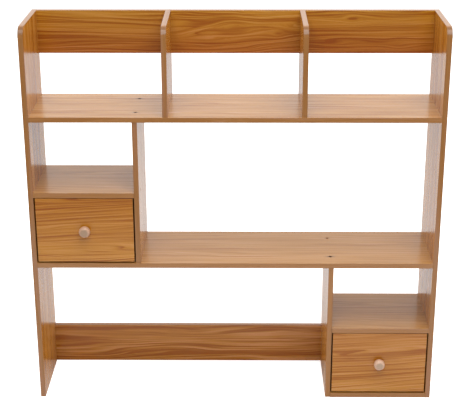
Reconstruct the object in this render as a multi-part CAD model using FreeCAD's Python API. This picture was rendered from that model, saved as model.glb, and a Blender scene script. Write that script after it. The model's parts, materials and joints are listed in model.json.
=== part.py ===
import FreeCAD, Part
import math
import os

Vector = FreeCAD.Vector

# A desk hutch of laminated board: two side panels, two full-width shelves, dividers, back rails and
# two small drawers. Millimetres, +Z up, front towards -Y, origin under the middle of the whole object.

# Driving dimensions
board = 12.5                      # thickness of every carcass board
overall_width = 1000.0            # over the two side panels
panel_depth = 210.0               # side panels and shelves, front to back
right_cubby_height = 165.5        # between the right small shelf and the middle shelf
left_cubby_height = 177.5         # between the left small shelf and the top shelf
upper_bay_height = 214.5          # from the top shelf to the top of the panels
drawer_opening_width = 243.5
drawer_opening_height = 171.5
rail_height = 107.0               # top back rails and lower back rail
corner_radius = 25.0              # front top corner of panels and upper dividers
edge_radius = 0.5                 # easing of the banded front edges
divider_setback = 2.0             # dividers stand back from the shelf fronts

# Drawers
drawer_setback = 1.0              # front board behind the panel fronts
drawer_side_gap = 3.2
drawer_top_gap = 1.2
drawer_bottom_gap = 4.0
box_inset = 1.0                   # drawer sides inside the ends of the front board
box_side_height = 130.0
box_back_drop = 4.0               # drawer back lower than the drawer sides
bottom_thickness = 3.0
groove_depth = 5.0
groove_gap = 0.1                  # play round the bottom panel in its grooves
groove_height = 9.0               # from the lower edge of the box to the groove
stop_gap = 0.5                    # between the closed drawer and the board behind it
glide_radius = 5.0
glide_clearance = 0.3             # under the glides
glide_stem_radius = 2.0
glide_stem_length = 6.0
glide_front_inset = 20.0          # glide centre from the end of the drawer side

# Knob, turned about the Y axis
knob_projection = 20.0
knob_foot_radius = 9.0
knob_neck_radius = 8.2
knob_head_radius = 13.4
knob_face_radius = 7.6

# Fasteners
screw_shank_radius = 2.4
screw_head_radius = 4.0
screw_head_height = 2.6
screw_length = 40.0
screw_head_rim = 0.4              # straight rim above the cone of a countersunk head
screw_tip = 2.0
screw_tip_radius = 0.5
recess_share = 0.6                # depth of a cross recess, of the height of its head
screw_socket = 4.0                # hexagon socket, across the flats
screw_socket_depth = 2.2
screw_spacing = 120.0             # between the two screws of a shelf joint
rail_screw_inset = 24.0           # rail screws from the rail's long edges
compartment_screw_inset = 40.0    # screws of a board behind a drawer, from its long edges
hidden_recess = 1.0               # capped heads below the panel's face
shown_recess = 0.6                # bare heads below the shelf's face
hole_gap = 0.1                    # clearance round screws and dowels
cap_radius = 5.8
cap_height = 0.8
cap_rounding = 0.5
cap_stem_radius = 1.6
cap_stem_length = 2.4
small_screw_shank_radius = 1.7
small_screw_head_radius = 3.4
small_screw_head_height = 2.0
box_screw_length = 30.0
dowel_radius = 3.0
dowel_chamfer = 0.6
rail_dowel_reach = 14.0           # into the rail on each side of the divider
box_dowel_length = 20.0
box_dowel_in_front = 8.0
cam_radius = 7.5
cam_depth = 9.5
cam_recess_depth = 2.0
cam_setback = 24.0                # cam centre behind the front board
cam_bolt_radius = 2.5
cam_bolt_in_front = 9.0
cam_bolt_chamfer = 0.6
cam_bolt_shoulder = 1.0           # from the front board's back to the start of the neck's cone
cam_bolt_neck_radius = 1.9
cam_bolt_head_radius = 2.7
cam_bolt_head_height = 2.0
cam_bolt_head_cone = 1.5
cam_bolt_bore_radius = 3.1
knob_screw_radius = 2.0
knob_screw_in_knob = 12.0
knob_screw_head_radius = 4.2
knob_screw_head_height = 2.6
bore_allowance = 0.5              # blind holes are this much deeper than what they hold

# Places that follow from the driving dimensions
half_width = overall_width / 2
inner_x = half_width - board
front_y = -(panel_depth + knob_projection - drawer_setback) / 2 + knob_projection - drawer_setback
back_y = front_y + panel_depth
middle_y = (front_y + back_y) / 2
divider_front_y = front_y + divider_setback
screw_rows = (middle_y - screw_spacing / 2, middle_y + screw_spacing / 2)
rail_front_y = back_y - board
rail_middle_y = back_y - board / 2

right_shelf_z = board + drawer_opening_height
middle_shelf_z = right_shelf_z + board + right_cubby_height
left_opening_z = middle_shelf_z + board
left_shelf_z = left_opening_z + drawer_opening_height
top_shelf_z = left_shelf_z + board + left_cubby_height
bay_floor_z = top_shelf_z + board
overall_height = bay_floor_z + upper_bay_height
top_rail_z = overall_height - rail_height

bay_width = (2 * inner_x - 2 * board) / 3
upper_left_x = -inner_x + bay_width
upper_right_x = inner_x - bay_width - board
left_divider_x = -inner_x + drawer_opening_width
right_divider_x = inner_x - drawer_opening_width - board
left_divider_inner_x = left_divider_x + board
right_divider_inner_x = right_divider_x + board

DOWN = Vector(0, 0, -1)
UP = Vector(0, 0, 1)
LEFT = Vector(-1, 0, 0)
RIGHT = Vector(1, 0, 0)
BACKWARDS = Vector(0, 1, 0)
FORWARDS = Vector(0, -1, 0)

nodes = {}


# Basic shapes

def box(x0, x1, y0, y1, z0, z1):
    """Plain block between two corners."""
    return Part.makeBox(x1 - x0, y1 - y0, z1 - z0, Vector(x0, y0, z0))


def turned(points):
    """Solid of revolution about Z from (radius, height) points, from axis to axis."""
    corners = [Vector(radius, 0, height) for radius, height in points]
    face = Part.Face(Part.makePolygon(corners + [corners[0]]))
    return face.revolve(Vector(0, 0, 0), UP, 360)


def aim(shape, point, direction):
    """Moves a shape that points down its own -Z so that it points along direction from point."""
    placed = shape.copy()
    placed.Placement = FreeCAD.Placement(point, FreeCAD.Rotation(DOWN, direction))
    return placed


def along_y(edge, y):
    """True when both ends of an edge lie in the plane at y."""
    return all(abs(vertex.Point.y - y) < 1e-6 for vertex in edge.Vertexes)


def eased_board(x0, x1, y0, y1, z0, z1, edges="horizontal"):
    """Block whose banded front edges are rounded: its long horizontal or its long vertical ones."""
    block = box(x0, x1, y0, y1, z0, z1)
    axis = RIGHT if edges == "horizontal" else UP
    front = [edge for edge in block.Edges if along_y(edge, y0) and is_parallel(edge, axis)]
    return block.makeFillet(edge_radius, front)


def is_parallel(edge, axis):
    """True for a straight edge that runs along axis."""
    first, last = edge.Vertexes[0].Point, edge.Vertexes[-1].Point
    return abs(abs((last - first).normalize().dot(axis)) - 1) < 1e-6


def rounded_upright(x, y0, z0):
    """Upright board up to the full height, with its front top corner rounded and its edges eased."""
    top = overall_height
    bend = corner_radius * (1 - math.cos(math.pi / 4))
    corner = Part.Arc(
        Vector(x, y0, top - corner_radius),
        Vector(x, y0 + bend, top - bend),
        Vector(x, y0 + corner_radius, top),
    )
    outline = Part.Wire([
        Part.makeLine(Vector(x, back_y, z0), Vector(x, y0, z0)),
        Part.makeLine(Vector(x, y0, z0), Vector(x, y0, top - corner_radius)),
        corner.toShape(),
        Part.makeLine(Vector(x, y0 + corner_radius, top), Vector(x, back_y, top)),
        Part.makeLine(Vector(x, back_y, top), Vector(x, back_y, z0)),
    ])
    upright = Part.Face(outline).extrude(Vector(board, 0, 0))
    return upright.makeFillet(edge_radius, banded_edges(upright, y0))


def banded_edges(upright, y0):
    """Edges of the front, the rounded corner and the top of an upright board, on both of its faces."""
    chosen = []
    for edge in upright.Edges:
        across = abs(edge.Vertexes[0].Point.x - edge.Vertexes[-1].Point.x) > 1e-6
        middle = edge.valueAt((edge.FirstParameter + edge.LastParameter) / 2)
        on_band = middle.y < y0 + corner_radius - 1e-6 and abs(middle.z - edge.BoundBox.ZMin) > 1e-6
        on_top = middle.z > overall_height - 1e-6
        if not across and (on_band or on_top):
            chosen.append(edge)
    return chosen


# Fasteners, each pointing down its own -Z with its head's face at the origin

def countersunk_profile(head_radius, head_height, shank_radius, length, gap=0.0):
    """Outline of a countersunk screw, or of its hole when gap is over 0."""
    return [
        (0, 0),
        (head_radius + gap, 0),
        (head_radius + gap, -screw_head_rim),
        (shank_radius + gap, -head_height - gap),
        (shank_radius + gap, -length + screw_tip - gap),
        (screw_tip_radius, -length - gap),
        (0, -length - gap),
    ]


def hexagon_socket(width, depth):
    """Hexagonal recess from the origin down."""
    radius = width / math.sqrt(3)
    corners = [
        Vector(radius * math.cos(math.radians(60 * i)), radius * math.sin(math.radians(60 * i)), 0)
        for i in range(7)
    ]
    return Part.Face(Part.makePolygon(corners)).extrude(DOWN * depth)


def cross_recess(width, depth):
    """Cross-shaped driver recess from the origin down."""
    arm = width / 4
    first = box(-width / 2, width / 2, -arm / 2, arm / 2, -depth, 0)
    second = box(-arm / 2, arm / 2, -width / 2, width / 2, -depth, 0)
    return first.fuse(second)


def joint_screw():
    """Connecting screw with a hexagon socket, for the carcass joints."""
    screw = turned(
        countersunk_profile(screw_head_radius, screw_head_height, screw_shank_radius, screw_length)
    )
    return screw.cut(hexagon_socket(screw_socket, screw_socket_depth))


def joint_screw_hole(recess):
    """Countersunk hole for a connecting screw, open to the face that is recess above the head."""
    hole = turned(
        countersunk_profile(screw_head_radius, screw_head_height, screw_shank_radius, screw_length, hole_gap)
    )
    return hole.fuse(Part.makeCylinder(screw_head_radius + hole_gap, recess))


def small_screw(length):
    """Small cross-head wood screw."""
    screw = turned(
        countersunk_profile(
            small_screw_head_radius, small_screw_head_height, small_screw_shank_radius, length
        )
    )
    return screw.cut(cross_recess(small_screw_head_radius, small_screw_head_height * recess_share))


def small_screw_hole(length):
    """Hole for a small wood screw."""
    return turned(
        countersunk_profile(
            small_screw_head_radius, small_screw_head_height, small_screw_shank_radius, length, hole_gap
        )
    )


def screw_cap():
    """Press-in cap: a thin rounded disc on the panel's face with a stem in the screw's socket."""
    disc = Part.makeCylinder(cap_radius, cap_height)
    rim = [edge for edge in disc.Edges if edge.BoundBox.ZMin > cap_height - 1e-6]
    stem = Part.makeCylinder(cap_stem_radius, cap_stem_length, Vector(0, 0, -cap_stem_length))
    return disc.makeFillet(cap_rounding, rim).fuse(stem)


def dowel(length):
    """Wooden dowel with chamfered ends, from the origin down."""
    return turned([
        (0, 0),
        (dowel_radius - dowel_chamfer, 0),
        (dowel_radius, -dowel_chamfer),
        (dowel_radius, -length + dowel_chamfer),
        (dowel_radius - dowel_chamfer, -length),
        (0, -length),
    ])


def dowel_hole(length):
    """Hole for a dowel, a little longer than the dowel at both ends."""
    return Part.makeCylinder(
        dowel_radius + hole_gap, length + 2 * dowel_chamfer, Vector(0, 0, -length - dowel_chamfer)
    )


def drill(names, tool):
    """Cuts a tool out of each named board."""
    for name in names:
        nodes[name] = nodes[name].cut(tool)


def fasten(group, screws):
    """Adds one node that holds a group of identical fasteners as separate solids."""
    nodes[group] = Part.makeCompound(screws)


# Carcass

def make_panels_and_shelves():
    nodes["left_side_panel"] = rounded_upright(-half_width, front_y, 0)
    nodes["right_side_panel"] = rounded_upright(inner_x, front_y, 0)
    nodes["top_shelf"] = shelf(-inner_x, inner_x, top_shelf_z)
    nodes["middle_shelf"] = shelf(-inner_x, inner_x, middle_shelf_z)
    nodes["left_small_shelf"] = shelf(-inner_x, left_divider_x, left_shelf_z)
    nodes["right_small_shelf"] = shelf(right_divider_inner_x, inner_x, right_shelf_z)
    nodes["bottom_board"] = shelf(right_divider_inner_x, inner_x, 0)


def shelf(x0, x1, z):
    """Horizontal board over the full depth, with its lower face at z."""
    return eased_board(x0, x1, front_y, back_y, z, z + board)


def make_dividers():
    nodes["upper_divider_left"] = rounded_upright(upper_left_x, divider_front_y, bay_floor_z)
    nodes["upper_divider_right"] = rounded_upright(upper_right_x, divider_front_y, bay_floor_z)
    nodes["left_divider"] = lower_divider(left_divider_x, left_opening_z, top_shelf_z)
    nodes["right_divider"] = lower_divider(right_divider_x, 0, middle_shelf_z)


def lower_divider(x, z0, z1):
    """Upright board between two levels, with square corners."""
    return eased_board(x, x + board, divider_front_y, back_y, z0, z1, edges="vertical")


def make_rails():
    spans = {
        "top_back_rail_left": (-inner_x, upper_left_x),
        "top_back_rail_centre": (upper_left_x + board, upper_right_x),
        "top_back_rail_right": (upper_right_x + board, inner_x),
    }
    for name, (x0, x1) in spans.items():
        nodes[name] = rail(x0, x1, top_rail_z)
    nodes["lower_back_rail"] = rail(-inner_x, right_divider_x, 0)
    nodes["left_compartment_back"] = compartment_back(-inner_x, left_opening_z)
    nodes["right_compartment_back"] = compartment_back(right_divider_inner_x, board)


def rail(x0, x1, z):
    """Upright strip at the back, with its long edges eased in front."""
    return eased_board(x0, x1, rail_front_y, back_y, z, z + rail_height)


def compartment_back(x, z):
    """Board that closes a drawer's opening at the back and stops the drawer."""
    return box(x, x + drawer_opening_width, rail_front_y, back_y, z, z + drawer_opening_height)


def make_screw_joint(point, direction, recess, names):
    """Drills the named boards at a joint and returns its screw, sunk by recess below the face at point."""
    seat = point + direction * recess
    drill(names, aim(joint_screw_hole(recess), seat, direction))
    return aim(joint_screw(), seat, direction)


def shelf_joint_points(x, z):
    """The two screw places of a joint, at the middle of the board's thickness."""
    return [Vector(x, y, z) for y in screw_rows]


def rail_joint_points(x, rail_z):
    """The two screw places at the end of a rail."""
    heights = (rail_z + rail_screw_inset, rail_z + rail_height - rail_screw_inset)
    return [Vector(x, rail_middle_y, z) for z in heights]


def compartment_joint_points(x, z):
    """The two screw places at the end of a board behind a drawer."""
    heights = (z + compartment_screw_inset, z + drawer_opening_height - compartment_screw_inset)
    return [Vector(x, rail_middle_y, height) for height in heights]


def make_side_panel_joints(side, x, direction, joints):
    """Screws through a side panel into the ends of the boards that meet it, and the caps over them."""
    panel = side + "_side_panel"
    screws, caps = [], []
    for name, points in joints:
        for point in points:
            screws.append(make_screw_joint(point, direction, hidden_recess, [panel, name]))
            caps.append(aim(screw_cap(), point, direction))
    fasten(side + "_panel_screws", screws)
    fasten(side + "_panel_screw_caps", caps)


def fasten_side_panels():
    half = board / 2
    make_side_panel_joints("left", -half_width, RIGHT, [
        ("top_back_rail_left", rail_joint_points(-half_width, top_rail_z)),
        ("top_shelf", shelf_joint_points(-half_width, top_shelf_z + half)),
        ("left_small_shelf", shelf_joint_points(-half_width, left_shelf_z + half)),
        ("middle_shelf", shelf_joint_points(-half_width, middle_shelf_z + half)),
        ("lower_back_rail", rail_joint_points(-half_width, 0)),
        ("left_compartment_back", compartment_joint_points(-half_width, left_opening_z)),
    ])
    make_side_panel_joints("right", half_width, LEFT, [
        ("top_back_rail_right", rail_joint_points(half_width, top_rail_z)),
        ("top_shelf", shelf_joint_points(half_width, top_shelf_z + half)),
        ("middle_shelf", shelf_joint_points(half_width, middle_shelf_z + half)),
        ("right_small_shelf", shelf_joint_points(half_width, right_shelf_z + half)),
        ("bottom_board", shelf_joint_points(half_width, half)),
        ("right_compartment_back", compartment_joint_points(half_width, board)),
    ])


def fasten_dividers():
    half = board / 2
    downward = [
        ("top_shelf", "left_divider", left_divider_x + half, bay_floor_z),
        ("middle_shelf", "right_divider", right_divider_x + half, left_opening_z),
    ]
    upward = [
        ("top_shelf", "upper_divider_left", upper_left_x + half, top_shelf_z),
        ("top_shelf", "upper_divider_right", upper_right_x + half, top_shelf_z),
        ("middle_shelf", "left_divider", left_divider_x + half, middle_shelf_z),
    ]
    for group, joints, direction in (
        ("shelf_top_screws", downward, DOWN), ("shelf_underside_screws", upward, UP),
    ):
        screws = []
        for shelf_name, divider_name, x, z in joints:
            for point in shelf_joint_points(x, z):
                screws.append(make_screw_joint(point, direction, shown_recess, [shelf_name, divider_name]))
        fasten(group, screws)
    left_x = left_divider_inner_x
    right_x = right_divider_x
    sideways = [
        ("left_divider", "left_small_shelf", LEFT, shelf_joint_points(left_x, left_shelf_z + half)),
        ("right_divider", "right_small_shelf", RIGHT, shelf_joint_points(right_x, right_shelf_z + half)),
        ("right_divider", "bottom_board", RIGHT, shelf_joint_points(right_x, half)),
        ("right_divider", "lower_back_rail", LEFT, rail_joint_points(right_x + board, 0)),
        ("left_divider", "left_compartment_back", LEFT, compartment_joint_points(left_x, left_opening_z)),
        ("right_divider", "right_compartment_back", RIGHT, compartment_joint_points(right_x, board)),
    ]
    screws = []
    for divider_name, board_name, direction, points in sideways:
        for point in points:
            screws.append(make_screw_joint(point, direction, shown_recess, [divider_name, board_name]))
    fasten("divider_screws", screws)


def dowel_rails():
    """Dowels through each upper divider into the rails on its two sides."""
    length = board + 2 * rail_dowel_reach
    dowels = []
    for x, names in (
        (upper_left_x, ["upper_divider_left", "top_back_rail_left", "top_back_rail_centre"]),
        (upper_right_x, ["upper_divider_right", "top_back_rail_centre", "top_back_rail_right"]),
    ):
        for point in rail_joint_points(x - rail_dowel_reach, top_rail_z):
            drill(names, aim(dowel_hole(length), point, RIGHT))
            dowels.append(aim(dowel(length), point, RIGHT))
    fasten("rail_dowels", dowels)


# Drawers

def make_drawer(side, opening_x, floor_z):
    """One drawer in its opening, whose left face is at opening_x and whose floor is at floor_z."""
    prefix = side + "_drawer_"
    front_x0 = opening_x + drawer_side_gap
    front_x1 = opening_x + drawer_opening_width - drawer_side_gap
    y0 = front_y + drawer_setback
    y1 = y0 + board
    box_end_y = rail_front_y - stop_gap
    z0 = floor_z + drawer_bottom_gap
    front_top_z = floor_z + drawer_opening_height - drawer_top_gap
    side_top_z = z0 + box_side_height
    outer_x0 = front_x0 + box_inset
    outer_x1 = front_x1 - box_inset

    nodes[prefix + "front"] = drawer_front(front_x0, front_x1, y0, z0, front_top_z)
    nodes[prefix + "left_side"] = box(outer_x0, outer_x0 + board, y1, box_end_y, z0, side_top_z)
    nodes[prefix + "right_side"] = box(outer_x1 - board, outer_x1, y1, box_end_y, z0, side_top_z)
    nodes[prefix + "back"] = box(
        outer_x0 + board, outer_x1 - board, box_end_y - board, box_end_y, z0, side_top_z - box_back_drop
    )
    make_drawer_bottom(prefix, outer_x0 + board, outer_x1 - board, y1, box_end_y - board, z0)
    join_front(prefix, outer_x0, outer_x1, y1, z0)
    join_back(prefix, outer_x0, outer_x1, box_end_y, z0)
    add_glides(prefix, (outer_x0 + board / 2, outer_x1 - board / 2), (y1, box_end_y), z0)
    add_knob(prefix, (front_x0 + front_x1) / 2, y0, (z0 + front_top_z) / 2)


def drawer_front(x0, x1, y0, z0, z1):
    """Front board with all four front edges eased."""
    block = box(x0, x1, y0, y0 + board, z0, z1)
    return block.makeFillet(edge_radius, [edge for edge in block.Edges if along_y(edge, y0)])


def make_drawer_bottom(prefix, x0, x1, y0, y1, z0):
    """Thin bottom panel, let into grooves on all four sides of the box."""
    x0, x1, y0, y1 = x0 - groove_depth, x1 + groove_depth, y0 - groove_depth, y1 + groove_depth
    floor = z0 + groove_height
    groove = box(x0, x1, y0, y1, floor, floor + bottom_thickness)
    drill([prefix + name for name in ("front", "left_side", "right_side", "back")], groove)
    nodes[prefix + "bottom"] = box(
        x0 + groove_gap, x1 - groove_gap, y0 + groove_gap, y1 - groove_gap,
        floor + groove_gap, floor + bottom_thickness - groove_gap,
    )


def join_front(prefix, outer_x0, outer_x1, y, z0):
    """Cam locks with their bolts, and dowels, between the front board and the drawer sides."""
    locks, bolts, dowels = [], [], []
    for name, x, inwards in (
        (prefix + "left_side", outer_x0 + board / 2, RIGHT),
        (prefix + "right_side", outer_x1 - board / 2, LEFT),
    ):
        names = [prefix + "front", name]
        centre = Vector(x, y + cam_setback, z0 + box_side_height / 2)
        mouth = centre + inwards * (board / 2)
        drill([name], aim(Part.makeCylinder(cam_radius + hole_gap, cam_depth, Vector(0, 0, -cam_depth)),
                          mouth, inwards * -1))
        drill(names, aim(cam_bolt_hole(), Vector(x, y, centre.z), BACKWARDS))
        locks.append(cam_lock(mouth, inwards, centre))
        bolts.append(aim(cam_bolt(), Vector(x, y, centre.z), BACKWARDS))
        for z in (z0 + box_side_height / 4, z0 + box_side_height * 3 / 4):
            point = Vector(x, y - box_dowel_in_front, z)
            drill(names, aim(dowel_hole(box_dowel_length), point, BACKWARDS))
            dowels.append(aim(dowel(box_dowel_length), point, BACKWARDS))
    fasten(prefix + "cam_locks", locks)
    fasten(prefix + "cam_bolts", bolts)
    fasten(prefix + "dowels", dowels)


def cam_lock(mouth, inwards, centre):
    """Cam disc with a driver recess, slotted for the head of its bolt."""
    disc = Part.makeCylinder(cam_radius, cam_depth - hole_gap, Vector(0, 0, hole_gap - cam_depth))
    disc = disc.cut(cross_recess(cam_radius, cam_recess_depth))
    slot_end = cam_bolt_head_height
    slot = Part.makeCylinder(
        cam_bolt_bore_radius + hole_gap, cam_radius + 2 * slot_end, Vector(0, 0, -cam_radius - slot_end / 2)
    )
    return aim(disc, mouth, inwards * -1).cut(aim(slot, centre, FORWARDS))


def cam_bolt():
    """Bolt that screws into the front board, with a neck and a round head that the cam draws in."""
    head_start = -cam_setback + cam_bolt_head_height / 2
    head_end = head_start - cam_bolt_head_height
    return turned([
        (0, cam_bolt_in_front),
        (cam_bolt_radius - cam_bolt_chamfer, cam_bolt_in_front),
        (cam_bolt_radius, cam_bolt_in_front - 2 * cam_bolt_chamfer),
        (cam_bolt_radius, -cam_bolt_shoulder),
        (cam_bolt_neck_radius, -2 * cam_bolt_shoulder),
        (cam_bolt_neck_radius, head_start + cam_bolt_head_cone),
        (cam_bolt_head_radius, head_start),
        (cam_bolt_head_radius, head_end),
        (0, head_end - cam_bolt_head_height / 2),
    ])


def cam_bolt_hole():
    """Hole in the front board and bore in the drawer side up to the cam."""
    return turned([
        (0, cam_bolt_in_front + bore_allowance),
        (cam_bolt_radius + hole_gap, cam_bolt_in_front + bore_allowance),
        (cam_bolt_radius + hole_gap, 0),
        (cam_bolt_bore_radius, 0),
        (cam_bolt_bore_radius, -cam_setback),
        (0, -cam_setback),
    ])


def join_back(prefix, outer_x0, outer_x1, end_y, z0):
    """Screws through the drawer sides into the ends of the drawer back."""
    screws = []
    for name, x, inwards in (
        (prefix + "left_side", outer_x0, RIGHT),
        (prefix + "right_side", outer_x1, LEFT),
    ):
        for z in (z0 + box_side_height / 4, z0 + box_side_height * 3 / 4):
            point = Vector(x, end_y - board / 2, z)
            drill([name, prefix + "back"], aim(small_screw_hole(box_screw_length), point, inwards))
            screws.append(aim(small_screw(box_screw_length), point, inwards))
    fasten(prefix + "back_screws", screws)


def add_glides(prefix, side_xs, side_ends, z0):
    """Push-in glides under both ends of the two drawer sides."""
    pad_height = drawer_bottom_gap - glide_clearance
    ease = pad_height / 3
    glide = turned([
        (0, glide_stem_length),
        (glide_stem_radius, glide_stem_length),
        (glide_stem_radius, 0),
        (glide_radius, 0),
        (glide_radius, -pad_height + ease),
        (glide_radius - ease, -pad_height),
        (0, -pad_height),
    ])
    stem_hole = Part.makeCylinder(glide_stem_radius + hole_gap, glide_stem_length + bore_allowance)
    ys = (side_ends[0] + glide_front_inset, side_ends[1] - glide_front_inset)
    glides = []
    for x, name in zip(side_xs, ("left_side", "right_side")):
        for y in ys:
            point = Vector(x, y, z0)
            drill([prefix + name], aim(stem_hole, point, DOWN))
            glides.append(aim(glide, point, DOWN))
    fasten(prefix + "glides", glides)


def add_knob(prefix, x, y, z):
    """Turned knob on the front board, held by a screw from inside the drawer."""
    reach = board + knob_screw_in_knob
    bore = reach + bore_allowance
    head_y = y + board
    screw_hole = Part.makeCylinder(knob_screw_radius + hole_gap, bore, Vector(0, 0, -bore))
    nodes[prefix + "knob"] = aim(knob(), Vector(x, y, z), BACKWARDS)
    drill([prefix + "front", prefix + "knob"], aim(screw_hole, Vector(x, head_y, z), FORWARDS))
    nodes[prefix + "knob_screw"] = aim(knob_screw(reach), Vector(x, head_y, z), FORWARDS)


def knob():
    """Knob with a short neck and a thick barrel with a flat face, standing up from the origin."""
    foot_height = 1.0
    waist_height = 2.2
    flare_height = 4.6
    flare_radius = knob_head_radius - 1.2
    widest_heights = (8.0, 14.5)
    shoulder_height = 18.2
    shoulder_radius = knob_head_radius - 2.4
    foot = Vector(0, 0, 0)
    rim = Vector(knob_foot_radius, 0, 0)
    foot_top = Vector(knob_foot_radius, 0, foot_height)
    waist = Vector(knob_neck_radius, 0, waist_height)
    flare = Vector(flare_radius, 0, flare_height)
    barrel = [Vector(knob_head_radius, 0, height) for height in widest_heights]
    shoulder = Vector(shoulder_radius, 0, shoulder_height)
    face_edge = Vector(knob_face_radius, 0, knob_projection)
    tip = Vector(0, 0, knob_projection)
    outline = Part.Wire([
        Part.makeLine(foot, rim),
        Part.makeLine(rim, foot_top),
        smooth_curve([foot_top, waist, flare, *barrel, shoulder, face_edge]),
        Part.makeLine(face_edge, tip),
        Part.makeLine(tip, foot),
    ])
    return Part.Face(outline).revolve(Vector(0, 0, 0), UP, 360)


def smooth_curve(points):
    """Edge along a smooth spline through the points."""
    spline = Part.BSplineCurve()
    spline.interpolate(points)
    return spline.toShape()


def knob_screw(reach):
    """Pan-head machine screw with a cross recess, its head standing on the face at the origin."""
    screw = turned([
        (0, knob_screw_head_height),
        (knob_screw_head_radius / 2, knob_screw_head_height),
        (knob_screw_head_radius, knob_screw_head_height / 2),
        (knob_screw_head_radius, 0),
        (knob_screw_radius, 0),
        (knob_screw_radius, -reach),
        (0, -reach),
    ])
    recess = cross_recess(knob_screw_head_radius, knob_screw_head_height * recess_share)
    recess.translate(Vector(0, 0, knob_screw_head_height))
    return screw.cut(recess)


def export_nodes():
    os.makedirs("parts", exist_ok=True)
    for name, shape in nodes.items():
        shape.exportStep("parts/" + name + ".step")


make_panels_and_shelves()
make_dividers()
make_rails()
fasten_side_panels()
fasten_dividers()
dowel_rails()
make_drawer("left", -inner_x, left_opening_z)
make_drawer("right", right_divider_inner_x, board)
export_nodes()
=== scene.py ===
import json
import math

import bpy
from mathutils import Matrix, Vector


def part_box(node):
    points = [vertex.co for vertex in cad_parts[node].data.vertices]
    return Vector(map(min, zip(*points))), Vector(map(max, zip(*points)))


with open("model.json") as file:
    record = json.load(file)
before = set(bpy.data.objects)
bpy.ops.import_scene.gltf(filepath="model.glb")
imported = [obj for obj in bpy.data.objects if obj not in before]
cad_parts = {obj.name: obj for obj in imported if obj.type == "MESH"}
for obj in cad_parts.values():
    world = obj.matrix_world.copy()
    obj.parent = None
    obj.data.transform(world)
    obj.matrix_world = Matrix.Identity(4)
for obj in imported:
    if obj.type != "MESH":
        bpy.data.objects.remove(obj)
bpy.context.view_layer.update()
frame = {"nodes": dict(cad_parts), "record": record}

# A desk hutch of wood-grain laminate. Metres, +Z up, front towards -Y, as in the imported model.

nodes = frame["nodes"]

# Places and sizes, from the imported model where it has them
panel_low, panel_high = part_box("right_side_panel")
front_y = panel_low.y
top_z = panel_high.z
CORNER_RADIUS = 0.025             # front top corner of the side panels and upper dividers
SCREW_HEAD_RADIUS = 0.004         # of the screws in the two long shelves

# Camera
CAMERA_PLACE = Vector((0.0192, front_y - 2.6937, 1.5569))
CAMERA_PITCH = 69.307             # degrees, 0 looks straight down
CAMERA_ROLL = 0.057
CAMERA_YAW = 0.413
CAMERA_LENS = 92.117              # mm
CAMERA_SENSOR = 36                # mm wide
CAMERA_SHIFT = -0.00296

# Studio
FLOOR_HALF_WIDTH = 3.0
FLOOR_FRONT = -1.3
FLOOR_BACK = 4.0
FLOOR_GLOW = 0.80                 # keeps the floor pale where the camera sees it
LEVEL_BEHIND = 1.2                # brightness of the surroundings
LEVEL_IN_FRONT = 0.35
KEY_PLACE = (0.2, -1.3, 2.8)
KEY_TARGET = (0, 0, 0.5)
KEY_WIDTH = 2.4
KEY_DEPTH = 2.2
KEY_RADIANCE = 4.2

# Printed grain of the laminate
WIDE_SPACING = 0.015              # between its main growth lines
FINE_SPACING = 0.0061             # between the fine ones
EDGE_PRINT = 5.0                  # the banding's place in the print, away from every board's
PRINT_STEP = (1.37, 0.71, 0.29)   # from one board's cut of the print to the next
BANDING_PRINT = 0.3               # strength of the print on the banding beside that on the faces
PORE_STRENGTH = 0.5               # how far the pores go towards the darkest shade
EDGE_PAINTED_SHADE_STRENGTH = 0.7          # how far the eased corners go towards their painted shade
GRAIN_RELIEF = 0.00004            # depth of the print in the surface
KNOT_PUSH = 0.9                   # share of the grain that a knot pushes out of its middle
HEART_LENGTH = 0.40               # of a knot's dark heart, beside the knot's own length
HEART_WIDTH = 0.24                # beside the knot's own width
LACQUER_IOR = 1.5                 # of the laminate and of the knobs

# Patterns of the other materials
KNOB_RING_SPACING = 0.0026
TOOL_MARK_SPACING = 0.0009        # of the lathe's marks on the knobs
BEECH_RING_SPACING = 0.0021
SCREEN_SPACING = 0.0016           # of the press screen's print below the hardboard

# Marks round the screws in the two long shelves: partly brown marks, partly painted shade
MARK_LENGTH = 0.0110              # along the grain, from the screw's middle
MARK_WIDTH = 0.0046
FILLER_REACH = 0.020              # far enough to cover one screw head and no other

# Colours, linear
WHITE = (1.0, 1.0, 1.0)
DARK_SHADE = (0.67, 0.46, 0.02)   # darkest grain, as a part of the board's colour
LIGHT_SHADE = (1.20, 1.34, 4.00)  # lightest grain
EDGE_PAINTED_SHADE = (0.16, 0.065, 0.018)  # painted shade on the eased corners of a board, against the light they catch
BANDING = (0.345, 0.153, 0.044)
UPRIGHT_BANDING = (0.305, 0.133, 0.036)
BRUISE_AND_PAINTED_SHADE = (0.12, 0.055, 0.020)     # laminate round a screw: partly a brown mark from driving it through, partly painted shade of the gap round its head
UPRIGHT = (0.465, 0.190, 0.018)
SHELF = (0.405, 0.186, 0.027)
TOP_SHELF = (0.418, 0.197, 0.031)
RAIL = (0.400, 0.145, 0.009)
CENTRE_RAIL = (0.430, 0.161, 0.012)
LOWER_RAIL = (0.485, 0.193, 0.021)
LEFT_FRONT = (0.430, 0.162, 0.010)
RIGHT_FRONT = (0.465, 0.188, 0.022)
DRAWER_BOX = (0.430, 0.178, 0.034)
RAIL_FADE = (0.84, 0.61, 0.66)    # from the upper edge of a rail to the lower one
FRONT_FADE = (1.14, 1.28, 1.45)   # from the upper edge of a drawer front to the lower one
BRONZE = ((0.035, 0.018, 0.009), (0.11, 0.062, 0.034))
FILLER = ((0.24, 0.100, 0.025), (0.34, 0.150, 0.040))
BEECH = ((0.42, 0.24, 0.12), (0.62, 0.42, 0.24))
CAP_BROWN = (0.33, 0.145, 0.045)
NYLON = (0.80, 0.78, 0.73)
ZINC = ((0.34, 0.34, 0.35), (0.60, 0.60, 0.61))
PLATING = ((0.50, 0.48, 0.40), (0.74, 0.73, 0.68))
KNOB_SIDE = ((0.60, 0.37, 0.25), (0.72, 0.50, 0.37))
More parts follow.
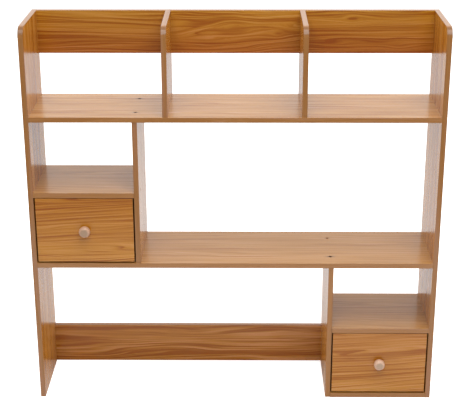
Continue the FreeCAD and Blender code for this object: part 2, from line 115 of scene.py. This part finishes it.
KNOB_FACE = ((0.50, 0.36, 0.26), (0.37, 0.24, 0.15))
KNOB_FLECK = (0.36, 0.20, 0.11)
KNOB_TINT = (0.88, 0.84, 0.80)
HARDBOARD = ((0.115, 0.052, 0.022), (0.215, 0.110, 0.052))
HARDBOARD_CLOUD = (0.120, 0.060, 0.028)


# Shader graphs

class Graph:
    """Adds shader nodes to a node tree; an input may be a plain value or another node's output."""

    def __init__(self, tree):
        self.tree = tree

    def add(self, kind, inputs, **settings):
        node = self.tree.nodes.new("ShaderNode" + kind)
        for name, value in settings.items():
            setattr(node, name, value)
        for key, value in inputs.items():
            self.feed(node.inputs[key], value)
        return node

    def feed(self, socket, value):
        if isinstance(value, bpy.types.NodeSocket):
            self.tree.links.new(value, socket)
        else:
            socket.default_value = value

    def math(self, operation, first, second=0.0, third=0.0, clamp=False):
        inputs = {0: first, 1: second, 2: third}
        return self.add("Math", inputs, operation=operation, use_clamp=clamp).outputs[0]

    def scaled(self, vector, factors):
        """Vector multiplied axis by axis."""
        return self.add("VectorMath", {0: vector, 1: factors}, operation="MULTIPLY").outputs[0]

    def noise(self, vector, sizes, detail=2.0, roughness=0.5):
        """Noise from 0 to 1 whose features are about as large as sizes, in metres."""
        stretched = self.scaled(vector, [1 / size for size in sizes])
        return self.add(
            "TexNoise", {"Vector": stretched, "Scale": 1.0, "Detail": detail, "Roughness": roughness}
        ).outputs["Fac"]

    def remap(self, value, low, high, new_low=0.0, new_high=1.0, smooth=True):
        kind = "SMOOTHSTEP" if smooth else "LINEAR"
        inputs = {"Value": value, "From Min": low, "From Max": high,
                  "To Min": new_low, "To Max": new_high}
        return self.add("MapRange", inputs, interpolation_type=kind).outputs["Result"]

    def mix(self, factor, first, second, blend="MIX"):
        """Mix of two colours."""
        inputs = {0: factor, 6: as_color(first), 7: as_color(second)}
        return self.add("Mix", inputs, data_type="RGBA", blend_type=blend).outputs[2]

    def bump(self, height, distance, strength=1.0):
        return self.add(
            "Bump", {"Height": height, "Distance": distance, "Strength": strength}
        ).outputs["Normal"]


def as_color(value):
    """Three numbers as a colour with full alpha; a socket unchanged."""
    return value if isinstance(value, bpy.types.NodeSocket) else (*value, 1.0)


def new_material(name):
    """Empty node material and its graph."""
    material = bpy.data.materials.new(name)
    material.use_nodes = True
    material.node_tree.nodes.clear()
    return material, Graph(material.node_tree)


def finish_material(graph, inputs):
    """Adds the surface shader with its inputs, and the output."""
    shader = graph.add("BsdfPrincipled", inputs)
    graph.add("OutputMaterial", {"Surface": shader.outputs[0]})


def put_on(name, material):
    """Gives a CAD node one material all over."""
    mesh = nodes[name].data
    mesh.materials.clear()
    mesh.materials.append(material)


# Wood-grain laminate

def growth_lines(graph, phase):
    """Dark lines one unit of phase apart, each slow to darken and quick to end: 1 at its darkest."""
    saw = graph.math("FRACT", phase)
    return graph.math("MULTIPLY", graph.math("POWER", saw, 2.6), graph.remap(saw, 0.88, 1.0, 1.0, 0.0))


def grain_tone(graph, point, contrast, waviness, lines, clouds):
    """Printed grain at a point whose X runs along the grain: 0 in the dark lines, 1 in the pale ones.
    lines and clouds say how strong the growth lines and the broad changes are beside the streaks."""
    parts = graph.add("SeparateXYZ", {0: point}).outputs
    place = graph.math("ADD", parts["Y"], parts["Z"])
    wander = graph.noise(point, (0.80, 0.055, 0.055), detail=1.0)
    ripple = graph.noise(point, (0.22, 0.030, 0.030), detail=1.5)
    drift = graph.math(
        "ADD", graph.math("MULTIPLY", wander, 4.0), graph.math("MULTIPLY", ripple, 1.1 * waviness))
    shifted = graph.math("ADD", place, graph.math("MULTIPLY", drift, WIDE_SPACING))
    flow = graph.add("CombineXYZ", {"X": parts["X"], "Y": shifted, "Z": parts["Z"]}).outputs[0]
    wide = growth_lines(graph, graph.math("DIVIDE", shifted, WIDE_SPACING))
    fine_phase = graph.math("DIVIDE", shifted, FINE_SPACING)
    fine = growth_lines(graph, graph.math("MULTIPLY_ADD", drift, 0.8, fine_phase))
    broad_change = graph.noise(flow, (0.60, 0.030, 0.030), detail=1.0)
    streaks = graph.noise(flow, (0.38, 0.0060, 0.0060), detail=2.0, roughness=0.6)
    fine_streaks = graph.noise(flow, (0.22, 0.0028, 0.0028), detail=1.5, roughness=0.6)
    fibres = graph.noise(point, (0.045, 0.0008, 0.0008), detail=2.0)
    wide_lines = graph.math("MULTIPLY", wide, line_strength(graph, point, 0.40, 0.022))
    fine_lines = graph.math("MULTIPLY", fine, line_strength(graph, point, 0.30, 0.030))
    patterns = (                  # each with its middle and its weight
        (broad_change, 0.5, 0.4 * clouds),
        (streaks, 0.5, 0.9),
        (fine_streaks, 0.5, 1.5),
        (fibres, 0.5, 0.35 / contrast),
        (wide_lines, 0.0, -0.50 * lines),
        (fine_lines, 0.0, -0.45 * lines),
    )
    tone = 0.60
    for pattern, middle, weight in patterns:
        part = graph.math("MULTIPLY", graph.math("SUBTRACT", pattern, middle), weight * contrast)
        tone = graph.math("ADD", part, tone)
    return graph.math("ADD", tone, 0.0, clamp=True)


def line_strength(graph, point, length, width):
    """How dark the growth lines are, which changes over patches of this length and width."""
    return graph.remap(graph.noise(point, (length, width, width), detail=1.0), 0.32, 0.66, 0.15, 1.0)


def pores(graph, point):
    """Fine printed pores: 1 in a pore, 0 elsewhere."""
    dashes = graph.noise(point, (0.009, 0.00042, 0.00042), detail=1.0)
    return graph.remap(dashes, 0.64, 0.74)


def corner(graph, normals):
    """1 where the surface turns from one face of a board to the next, 0 on the faces."""
    largest = graph.math("MAXIMUM", graph.math("MAXIMUM", normals["X"], normals["Y"]), normals["Z"])
    return graph.remap(largest, 0.995, 0.90, 0.0, 1.0)


def board_axes(name, grain):
    """The axes along the grain, across it and through the board, and the board's middle and size."""
    low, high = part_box(name)
    size = high - low
    order = {"X": "XYZ", "Y": "YZX", "Z": "ZYX"}[grain]
    if grain == "X" and size.y < size.z:
        order = "XZY"
    return order, (low + high) / 2, size


def around_knots(graph, along, across, knots):
    """The place across the grain, pushed aside by the knots, and how dark their hearts are there."""
    heart = 0.0
    for knot_along, knot_across, length, width, darkness in knots:
        off_along = graph.math("SUBTRACT", along, knot_along)
        off_across = graph.math("SUBTRACT", across, knot_across)
        reach = bell(graph, off_along, off_across, length, width)
        push = graph.math("MULTIPLY", graph.math("MULTIPLY", off_across, reach), -KNOT_PUSH)
        across = graph.math("ADD", across, push)
        core = bell(graph, off_along, off_across, length * HEART_LENGTH, width * HEART_WIDTH)
        heart = graph.math("MULTIPLY_ADD", core, darkness, heart)
    return across, heart


def bell(graph, first, second, first_size, second_size):
    """1 where both distances are 0, falling off smoothly over the sizes."""
    squares = 0.0
    for distance, size in ((first, first_size), (second, second_size)):
        part = graph.math("DIVIDE", distance, size)
        squares = graph.math("MULTIPLY_ADD", part, part, squares)
    return graph.math("EXPONENT", graph.math("MULTIPLY", squares, -1.0))


def edge_path(graph, parts, normals, order, centre, half_depth, rounded):
    """Distance along a board's banded edges, which the grain of the banding follows. On a rounded board
    it goes up the front edge, round the front top corner and back along the top."""
    along, across, _ = (parts[axis] for axis in order)
    if not rounded:
        at_end = graph.math("GREATER_THAN", normals[order[0]], 0.7)
        on_side = graph.math("SUBTRACT", 1.0, at_end)
        return graph.math(
            "ADD", graph.math("MULTIPLY", across, at_end), graph.math("MULTIPLY", along, on_side))
    bend_z = top_z - CORNER_RADIUS - centre.z
    bend_y = CORNER_RADIUS - half_depth
    above = graph.math("MAXIMUM", graph.math("SUBTRACT", along, bend_z), 0.0)
    before = graph.math("MAXIMUM", graph.math("SUBTRACT", bend_y, across), 0.0)
    turn = graph.math("MULTIPLY", graph.math("ARCTAN2", above, before), CORNER_RADIUS)
    straight = graph.math("MINIMUM", along, bend_z)
    behind = graph.math("MAXIMUM", graph.math("SUBTRACT", across, bend_y), 0.0)
    return graph.math("ADD", graph.math("ADD", straight, turn), behind)


def laminate(name, color, grain, index, contrast=1.0, waviness=1.0, lines=1.0, clouds=1.0, scale=1.0,
             tilt=0.0, knots=(), marks=(), fade=WHITE, roughness=(0.23, 0.18), banding=BANDING,
             rounded=False):
    """Laminate for one board. grain is the axis that the grain runs along, and index shifts the board
    along the print. contrast, waviness, lines and clouds shape the print, scale widens it and tilt
    turns it. knots are places along and across from the board's middle with length, width and darkness,
    and marks are places of screws with the darkness of the mark round each, partly a brown mark that
    the screw left and partly painted shade of the gap round its head. fade is the colour change
    from the board's far or upper side to the other one, roughness is that of the darkest and the palest
    grain, banding is the colour of the edges, and rounded is for a rounded front top corner."""
    order, centre, size = board_axes(name, grain)
    material, graph = new_material("laminate_" + name)
    coordinates = graph.add("TexCoord", {}).outputs
    local = graph.add(
        "VectorMath", {0: coordinates["Object"], 1: centre}, operation="SUBTRACT").outputs[0]
    parts = graph.add("SeparateXYZ", {0: local}).outputs
    facing = graph.add("VectorMath", {0: coordinates["Normal"]}, operation="ABSOLUTE").outputs[0]
    normals = graph.add("SeparateXYZ", {0: facing}).outputs
    along, across, through = (parts[axis] for axis in order)
    aside, heart = around_knots(graph, along, across, knots)
    turned = graph.math("MULTIPLY_ADD", along, tilt, aside)
    face_point = graph.add("CombineXYZ", {"X": along, "Y": turned, "Z": through}).outputs[0]
    face_point = graph.scaled(face_point, (1.0, 1 / scale, 1 / scale))
    path = edge_path(graph, parts, normals, order, centre, size.y / 2, rounded)
    edge_point = graph.add("CombineXYZ", {"X": path, "Y": through, "Z": EDGE_PRINT}).outputs[0]
    on_edge = graph.remap(normals[order[2]], 0.95, 0.80)
    point = graph.add(
        "Mix", {0: on_edge, 4: face_point, 5: edge_point}, data_type="VECTOR").outputs[1]
    shift = [step * index for step in PRINT_STEP]
    point = graph.add("VectorMath", {0: point, 1: shift}, operation="ADD").outputs[0]

    tone = grain_tone(graph, point, contrast, waviness, lines, clouds)
    tone = graph.math("SUBTRACT", tone, heart, clamp=True)
    pore = pores(graph, point)
    half = size["XYZ".index(order[1])] / 2
    far_color = [part / math.sqrt(change) for part, change in zip(color, fade)]
    near_color = [part * math.sqrt(change) for part, change in zip(color, fade)]
    ground = graph.mix(graph.remap(across, half, -half, smooth=False), far_color, near_color)
    ground = graph.mix(on_edge, ground, banding)
    shade = graph.mix(graph.remap(tone, 0.0, 0.5, smooth=False), DARK_SHADE, WHITE)
    shade = graph.mix(graph.remap(tone, 0.5, 1.0, smooth=False), shade, LIGHT_SHADE)
    shade = graph.mix(graph.math("MULTIPLY", pore, PORE_STRENGTH), shade, DARK_SHADE)
    shade = graph.mix(graph.math("MULTIPLY", on_edge, 1 - BANDING_PRINT), shade, WHITE)
    wood = graph.mix(1.0, ground, shade, blend="MULTIPLY")
    # painted shade: the eased corners darkened, against the light they catch from the key and the
    # surroundings
    painted_corner_shade = graph.math("MULTIPLY", corner(graph, normals), EDGE_PAINTED_SHADE_STRENGTH)
    wood = graph.mix(painted_corner_shade, wood, EDGE_PAINTED_SHADE)
    # darker laminate round the screws: partly a brown mark, partly painted shade of the gap round each
    # head
    for mark_x, mark_y, darkness in marks:
        off_along = graph.math("SUBTRACT", along, mark_x - centre.x)
        off_across = graph.math("SUBTRACT", across, mark_y - centre.y)
        mark = bell(graph, off_along, off_across, MARK_LENGTH, MARK_WIDTH)
        wood = graph.mix(graph.math("MULTIPLY", mark, darkness), wood, BRUISE_AND_PAINTED_SHADE)
    height = graph.math("SUBTRACT", tone, pore)
    finish_material(graph, {
        "Base Color": wood,
        "Roughness": graph.remap(tone, 0.0, 1.0, *roughness, smooth=False),
        "IOR": LACQUER_IOR,
        "Normal": graph.bump(height, GRAIN_RELIEF),
    })
    put_on(name, material)


screws_low, screws_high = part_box("shelf_top_screws")
back_row = screws_high.y - SCREW_HEAD_RADIUS
front_row = screws_low.y + SCREW_HEAD_RADIUS
left_column = screws_low.x + SCREW_HEAD_RADIUS
right_column = screws_high.x - SCREW_HEAD_RADIUS
top_shelf_marks = [(left_column, back_row, 0.85), (left_column, front_row, 0.60)]
middle_shelf_marks = [(right_column, back_row, 0.25), (right_column, front_row, 0.90)]
lower_upright = {"contrast": 1.0, "clouds": 4.0, "roughness": (0.24, 0.17)}
upright = {**lower_upright, "banding": UPRIGHT_BANDING}
rounded_upright = {**upright, "rounded": True}
top_rail = {"contrast": 1.4, "fade": RAIL_FADE}
drawer_front = {"contrast": 1.2, "lines": 1.5, "scale": 0.85, "fade": FRONT_FADE}
right_rail_knots = [(-0.042, 0.033, 0.026, 0.011, 0.9), (0.075, -0.030, 0.030, 0.012, 0.15)]
centre_rail_knots = [(-0.017, 0.014, 0.050, 0.018, 0.0), (0.105, -0.004, 0.022, 0.010, 0.35)]
boards = {
    "left_side_panel": (UPRIGHT, "Z", rounded_upright),
    "right_side_panel": (UPRIGHT, "Z", rounded_upright),
    "upper_divider_left": (UPRIGHT, "Z", rounded_upright),
    "upper_divider_right": (UPRIGHT, "Z", rounded_upright),
    "left_divider": (UPRIGHT, "Z", upright),
    "right_divider": (UPRIGHT, "Z", lower_upright),
    "top_shelf": (TOP_SHELF, "X", {"contrast": 1.4, "marks": top_shelf_marks}),
    "middle_shelf": (SHELF, "X", {"contrast": 0.9, "marks": middle_shelf_marks}),
    "left_small_shelf": (SHELF, "X", {}),
    "right_small_shelf": (SHELF, "X", {}),
    "bottom_board": (SHELF, "X", {}),
    "top_back_rail_left": (RAIL, "X", {**top_rail, "waviness": 0.6, "lines": 1.2, "tilt": 0.03}),
    "top_back_rail_centre": (
        CENTRE_RAIL, "X", {**top_rail, "waviness": 2.0, "tilt": -0.04, "knots": centre_rail_knots}),
    "top_back_rail_right": (RAIL, "X", {**top_rail, "waviness": 1.4, "knots": right_rail_knots}),
    "lower_back_rail": (
        LOWER_RAIL, "X", {"contrast": 1.6, "waviness": 0.7, "lines": 1.3, "scale": 1.7}),
    "left_drawer_front": (LEFT_FRONT, "X", {**drawer_front, "tilt": -0.05}),
    "right_drawer_front": (RIGHT_FRONT, "X", {**drawer_front, "tilt": -0.08}),
    "left_compartment_back": (LOWER_RAIL, "X", {}),
    "right_compartment_back": (LOWER_RAIL, "X", {}),
}
for side in ("left", "right"):
    for part in ("left_side", "right_side"):
        boards[side + "_drawer_" + part] = (DRAWER_BOX, "Y", {})
    boards[side + "_drawer_back"] = (DRAWER_BOX, "X", {})
for index, (name, (color, grain, settings)) in enumerate(boards.items()):
    laminate(name, color, grain, index + 1, **settings)


# Turned, planed and moulded pieces

def local_point(graph, name):
    """Position from the middle of a node."""
    low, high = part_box(name)
    position = graph.add("TexCoord", {}).outputs["Object"]
    return graph.add("VectorMath", {0: position, 1: (low + high) / 2}, operation="SUBTRACT").outputs[0]


def knob_wood(name, depth):
    """Pale lacquered hardwood, turned with its grain along the knob: rings on the face, fine lines on
    the sides. depth is how strongly KNOB_TINT darkens the wood."""
    material, graph = new_material("pale_wood_" + name)
    point = local_point(graph, name)
    parts = graph.add("SeparateXYZ", {0: point}).outputs
    normal = graph.add("TexCoord", {}).outputs["Normal"]
    forward = graph.math("MULTIPLY", graph.add("SeparateXYZ", {0: normal}).outputs["Y"], -1.0)
    end_grain = graph.remap(forward, 0.86, 0.99)
    bent = graph.math("MULTIPLY_ADD", graph.math("MULTIPLY", parts["X"], parts["X"]), 9.0, parts["Z"])
    drift = graph.noise(point, (0.010, 0.060, 0.010), detail=2.0)
    place = graph.math("DIVIDE", bent, KNOB_RING_SPACING)
    ring = growth_lines(graph, graph.math("MULTIPLY_ADD", drift, 1.6, place))
    side_lines = graph.noise(point, (0.0012, 0.030, 0.0012), detail=2.0)
    flecks = graph.noise(point, (0.0006, 0.0060, 0.0006), detail=1.0)
    turning = graph.math("SINE", graph.math("MULTIPLY", parts["Y"], 2 * math.pi / TOOL_MARK_SPACING))
    side = graph.mix(graph.remap(side_lines, 0.35, 0.65), *KNOB_SIDE)
    face = graph.mix(graph.math("MULTIPLY", ring, 0.7), *KNOB_FACE)
    wood = graph.mix(end_grain, side, face)
    wood = graph.mix(graph.remap(flecks, 0.60, 0.72, 0.0, 0.35), wood, KNOB_FLECK)
    wood = graph.mix(1.0, wood, [part ** depth for part in KNOB_TINT], blend="MULTIPLY")
    height = graph.math("MULTIPLY_ADD", turning, 0.25, side_lines)
    finish_material(graph, {
        "Base Color": wood,
        "Roughness": graph.remap(end_grain, 0.0, 1.0, 0.32, 0.42, smooth=False),
        "IOR": LACQUER_IOR,
        "Normal": graph.bump(height, 0.00003),
    })
    return material


def bare_wood(name, colors, grain, line, fleck, roughness):
    """Planed or turned bare wood with growth lines about line apart and dark flecks of the size fleck.
    grain is the order of the axes: along the grain, across it and through."""
    material, graph = new_material(name)
    position = graph.add("TexCoord", {}).outputs["Object"]
    parts = graph.add("SeparateXYZ", {0: position}).outputs
    along, across, through = (parts[axis] for axis in grain)
    point = graph.add("CombineXYZ", {"X": along, "Y": across, "Z": through}).outputs[0]
    wander = graph.noise(point, (0.090, 4 * line, 4 * line), detail=1.0)
    place = graph.math("DIVIDE", graph.math("ADD", across, through), line)
    ring = growth_lines(graph, graph.math("MULTIPLY_ADD", wander, 3.0, place))
    fibre = graph.noise(point, (0.012, 0.00035, 0.00035), detail=2.0)
    flecks = graph.noise(point, fleck, detail=1.0)
    dark, pale = colors
    wood = graph.mix(graph.remap(fibre, 0.3, 0.7), [part * 0.86 for part in pale], pale)
    wood = graph.mix(graph.math("MULTIPLY", ring, 0.65), wood, dark)
    wood = graph.mix(graph.remap(flecks, 0.62, 0.72, 0.0, 0.5), wood, dark)
    finish_material(graph, {
        "Base Color": wood,
        "Roughness": graph.remap(fibre, 0.3, 0.7, roughness + 0.08, roughness),
        "Normal": graph.bump(fibre, 0.00008),
    })
    return material


def hardboard():
    """Pressed brown fibres: smooth above, with the print of the press screen below."""
    material, graph = new_material("hardboard")
    coordinates = graph.add("TexCoord", {}).outputs
    point = coordinates["Object"]
    parts = graph.add("SeparateXYZ", {0: point}).outputs
    below = graph.remap(graph.add("SeparateXYZ", {0: coordinates["Normal"]}).outputs["Z"], -0.2, -0.8)
    fibres = graph.noise(point, (0.0011, 0.0011, 0.0011), detail=4.0, roughness=0.7)
    cloud = graph.noise(point, (0.030, 0.030, 0.030), detail=2.0)
    weave = graph.math(
        "MULTIPLY", wave(graph, parts["X"], SCREEN_SPACING), wave(graph, parts["Y"], SCREEN_SPACING))
    brown = graph.mix(graph.remap(fibres, 0.30, 0.70), *HARDBOARD)
    brown = graph.mix(graph.remap(cloud, 0.35, 0.65, 0.0, 0.35), brown, HARDBOARD_CLOUD)
    height = graph.math("MULTIPLY_ADD", graph.math("MULTIPLY", weave, below), 1.4, fibres)
    finish_material(graph, {
        "Base Color": brown,
        "Roughness": graph.remap(below, 0.0, 1.0, 0.55, 0.85, smooth=False),
        "Normal": graph.bump(height, 0.00012),
    })
    return material


def wave(graph, place, spacing):
    """Smooth wave from 0 to 1 and back over each spacing."""
    turn = graph.math("SINE", graph.math("MULTIPLY", place, 2 * math.pi / spacing))
    return graph.math("MULTIPLY_ADD", turn, 0.5, 0.5)


def moulded(name, color, roughness, sheen):
    """Moulded plastic: a fine matt texture, with slight changes of colour and gloss where it flowed."""
    material, graph = new_material(name)
    position = graph.add("TexCoord", {}).outputs["Object"]
    flow = graph.noise(position, (0.006, 0.006, 0.010), detail=2.0)
    texture = graph.noise(position, (0.00025, 0.00025, 0.00025), detail=2.0)
    tint = graph.mix(graph.remap(flow, 0.35, 0.65), [part * 0.88 for part in color], color)
    finish_material(graph, {
        "Base Color": tint,
        "Roughness": graph.remap(flow, 0.35, 0.65, roughness - 0.04, roughness + 0.06),
        "Sheen Weight": sheen,
        "Normal": graph.bump(texture, 0.00002),
    })
    return material


def metal(name, colors, roughness, grain):
    """Bare or coated metal: clouds of tone and a grain of this size, duller in the dark spots."""
    material, graph = new_material(name)
    position = graph.add("TexCoord", {}).outputs["Object"]
    cloud = graph.noise(position, (0.0025, 0.0025, 0.0025), detail=3.0)
    texture = graph.noise(position, grain, detail=3.0, roughness=0.6)
    tone = graph.math("MULTIPLY_ADD", texture, 0.5, graph.math("MULTIPLY", cloud, 0.5))
    finish_material(graph, {
        "Base Color": graph.mix(graph.remap(tone, 0.38, 0.62), *colors),
        "Metallic": 1.0,
        "Roughness": graph.remap(tone, 0.38, 0.62, roughness + 0.12, roughness),
        "Normal": graph.bump(texture, 0.00004),
    })
    return material


def shelf_screw():
    """Bronzed screw heads in the shelves; the one at the back right is rubbed over with wood filler."""
    material, graph = new_material("shelf_screw")
    position = graph.add("TexCoord", {}).outputs["Object"]
    parts = graph.add("SeparateXYZ", {0: position}).outputs
    off_x = graph.math("SUBTRACT", parts["X"], right_column)
    off_y = graph.math("SUBTRACT", parts["Y"], back_row)
    filled = graph.remap(bell(graph, off_x, off_y, FILLER_REACH, FILLER_REACH), 0.05, 0.20)
    texture = graph.noise(position, (0.0006, 0.0006, 0.0006), detail=3.0, roughness=0.6)
    bronze = graph.mix(graph.remap(texture, 0.38, 0.62), *BRONZE)
    filler = graph.mix(graph.remap(texture, 0.35, 0.65), *FILLER)
    finish_material(graph, {
        "Base Color": graph.mix(filled, bronze, filler),
        "Metallic": graph.math("SUBTRACT", 1.0, filled),
        "Roughness": graph.remap(texture, 0.38, 0.62, 0.60, 0.45),
        "Normal": graph.bump(texture, 0.00004),
    })
    return material


others = {
    "hardboard": hardboard(),
    "dowel_wood": bare_wood(
        "dowel_wood", BEECH, "YZX", BEECH_RING_SPACING, (0.0030, 0.0004, 0.0004), 0.62),
    "cap_plastic": moulded("cap_plastic", CAP_BROWN, 0.42, 0.05),
    "glide_plastic": moulded("glide_plastic", NYLON, 0.36, 0.0),
    "zinc": metal("zinc", ZINC, 0.36, (0.0007, 0.0007, 0.0007)),
    "dark_screw": metal("dark_screw", BRONZE, 0.45, (0.0006, 0.0006, 0.0006)),
    "plated_screw": metal("plated_screw", PLATING, 0.26, (0.0005, 0.0005, 0.0020)),
}
for subpart in frame["record"]["subparts"]:
    if subpart["material_slot"] in others:
        put_on(subpart["node"], others[subpart["material_slot"]])
put_on("left_drawer_knob", knob_wood("left_drawer_knob", 2.2))
put_on("right_drawer_knob", knob_wood("right_drawer_knob", 0.6))
put_on("shelf_top_screws", shelf_screw())


# Stage

def add_floor():
    """Plain pale floor at the height that the object stands on."""
    mesh = bpy.data.meshes.new("floor")
    corners = [(-FLOOR_HALF_WIDTH, FLOOR_FRONT, 0), (FLOOR_HALF_WIDTH, FLOOR_FRONT, 0),
               (FLOOR_HALF_WIDTH, FLOOR_BACK, 0), (-FLOOR_HALF_WIDTH, FLOOR_BACK, 0)]
    mesh.from_pydata(corners, [], [(0, 1, 2, 3)])
    floor = bpy.data.objects.new("floor", mesh)
    bpy.context.scene.collection.objects.link(floor)
    material, graph = new_material("floor")
    camera_ray = graph.add("LightPath", {}).outputs["Is Camera Ray"]
    finish_material(graph, {
        "Base Color": (0.86, 0.86, 0.86, 1.0),
        "Roughness": 0.9,
        "Emission Color": (1.0, 1.0, 1.0, 1.0),
        "Emission Strength": graph.math("MULTIPLY", camera_ray, FLOOR_GLOW),
    })
    mesh.materials.append(material)


def add_softbox(name, place, target, width, depth, radiance):
    """Soft rectangular light; its power follows its size, so the radiance sets how bright it looks."""
    light = bpy.data.lights.new(name, "AREA")
    light.shape = "RECTANGLE"
    light.size = width
    light.size_y = depth
    light.energy = radiance * math.pi * width * depth
    lamp = bpy.data.objects.new(name, light)
    lamp.location = place
    lamp.rotation_euler = (Vector(target) - Vector(place)).to_track_quat("-Z", "Y").to_euler()
    bpy.context.scene.collection.objects.link(lamp)


def add_world():
    """White surroundings behind the object and above it, dim ones in front."""
    world = bpy.data.worlds.new("studio")
    bpy.context.scene.world = world
    world.use_nodes = True
    world.node_tree.nodes.clear()
    graph = Graph(world.node_tree)
    direction = graph.add("TexCoord", {}).outputs["Generated"]
    y = graph.add("SeparateXYZ", {0: direction}).outputs["Y"]
    level = graph.remap(y, -0.5, 0.0, LEVEL_IN_FRONT, LEVEL_BEHIND)
    camera_ray = graph.add("LightPath", {}).outputs["Is Camera Ray"]
    level = graph.math("MAXIMUM", level, camera_ray)
    background = graph.add("Background", {"Color": (1, 1, 1, 1), "Strength": level})
    graph.add("OutputWorld", {"Surface": background.outputs[0]})


def add_camera():
    data = bpy.data.cameras.new("camera")
    data.sensor_width = CAMERA_SENSOR
    data.lens = CAMERA_LENS
    data.shift_x = CAMERA_SHIFT
    camera = bpy.data.objects.new("camera", data)
    camera.location = CAMERA_PLACE
    camera.rotation_euler = [math.radians(angle) for angle in (CAMERA_PITCH, CAMERA_ROLL, CAMERA_YAW)]
    bpy.context.scene.collection.objects.link(camera)
    bpy.context.scene.camera = camera


add_floor()
add_world()
add_softbox("key", KEY_PLACE, KEY_TARGET, KEY_WIDTH, KEY_DEPTH, KEY_RADIANCE)
add_camera()
bpy.context.scene.view_settings.view_transform = "Standard"
